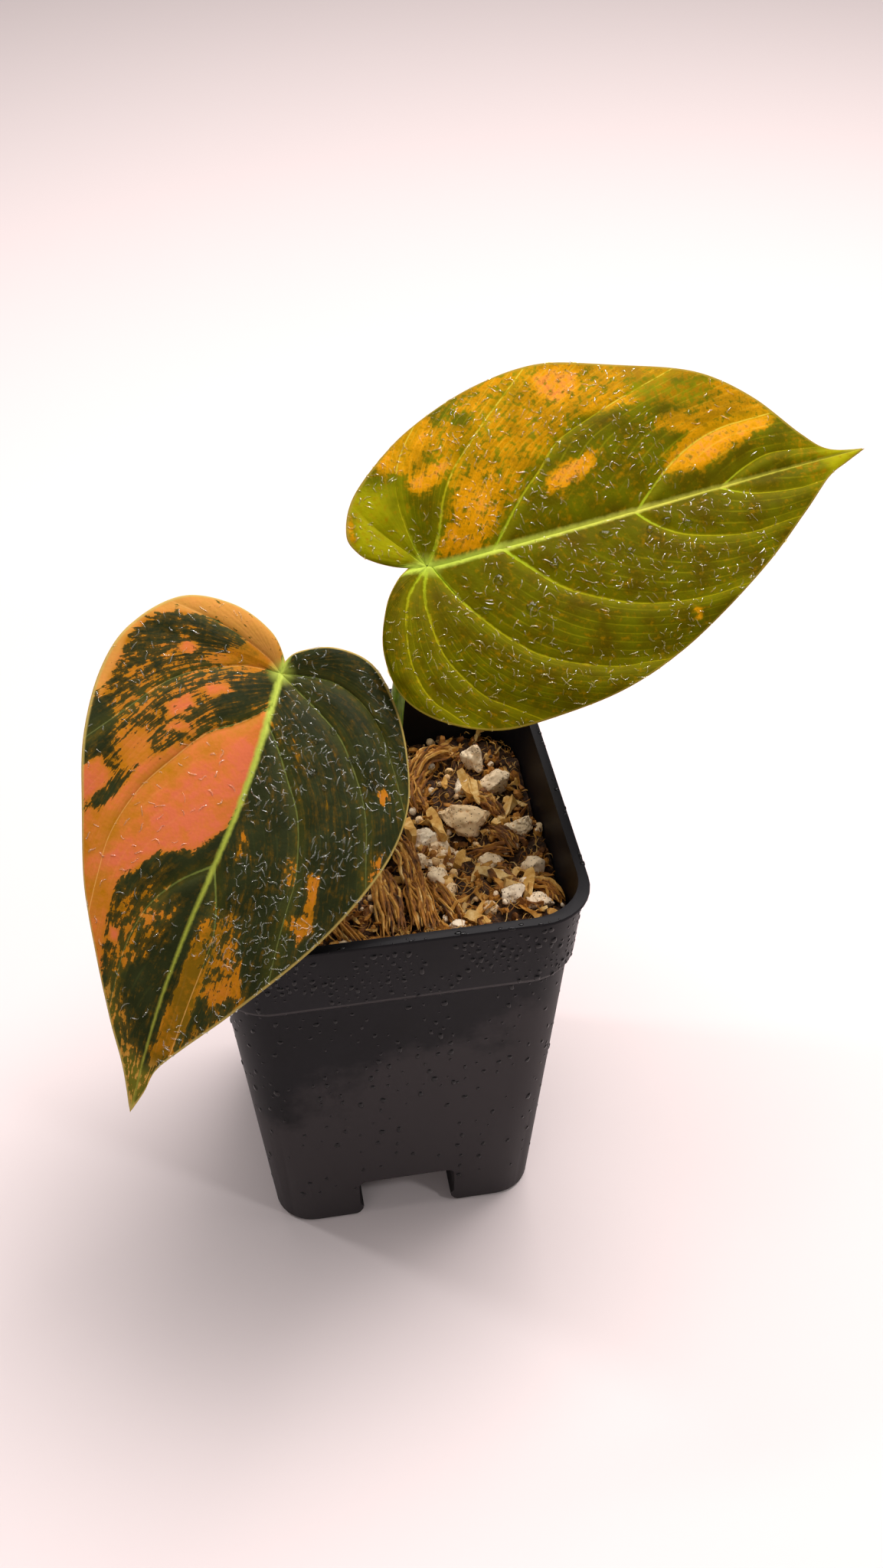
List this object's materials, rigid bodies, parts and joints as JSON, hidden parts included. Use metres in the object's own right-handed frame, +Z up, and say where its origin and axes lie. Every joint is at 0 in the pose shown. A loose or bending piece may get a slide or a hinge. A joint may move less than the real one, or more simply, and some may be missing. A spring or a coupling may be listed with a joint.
{
  "type": "potted philodendron melanochrysum",
  "caption": "Young velvet-leaf climbing aroid with two variegated heart-shaped leaves in a tall square black nursery pot of chunky mix.",
  "frame": {"origin": "under the middle of the whole object, on the surface that the pot stands on", "axes": "+Z up, +X to the right along the pot's front face, towards the upper leaf's tip, +Y away from the viewer"},
  "size_m": [0.1952, 0.1216, 0.1987],
  "materials": {
    "pot_plastic": "satin injection-moulded polypropylene, wet with fine droplets",
    "growing_mix": "damp coco husk fibre and bark chips with cream pumice and white perlite",
    "green_stem": "living green stem with paler leaf rings",
    "leaf_stalk": "smooth juicy green stalk, softly glossy",
    "leaf_dark_pink": "leathery leaf, near-black green with salmon and orange sectors, wet",
    "leaf_olive_orange": "leathery leaf, olive green with golden-orange mottling, wet"
  },
  "bodies": {
    "root": {"pot": "pot_plastic", "growing_mix": "growing_mix", "stem": "green_stem", "petiole_lower": "leaf_stalk", "petiole_upper": "leaf_stalk", "blade_lower": "leaf_dark_pink", "blade_upper": "leaf_olive_orange"}
  },
  "joints": []
}
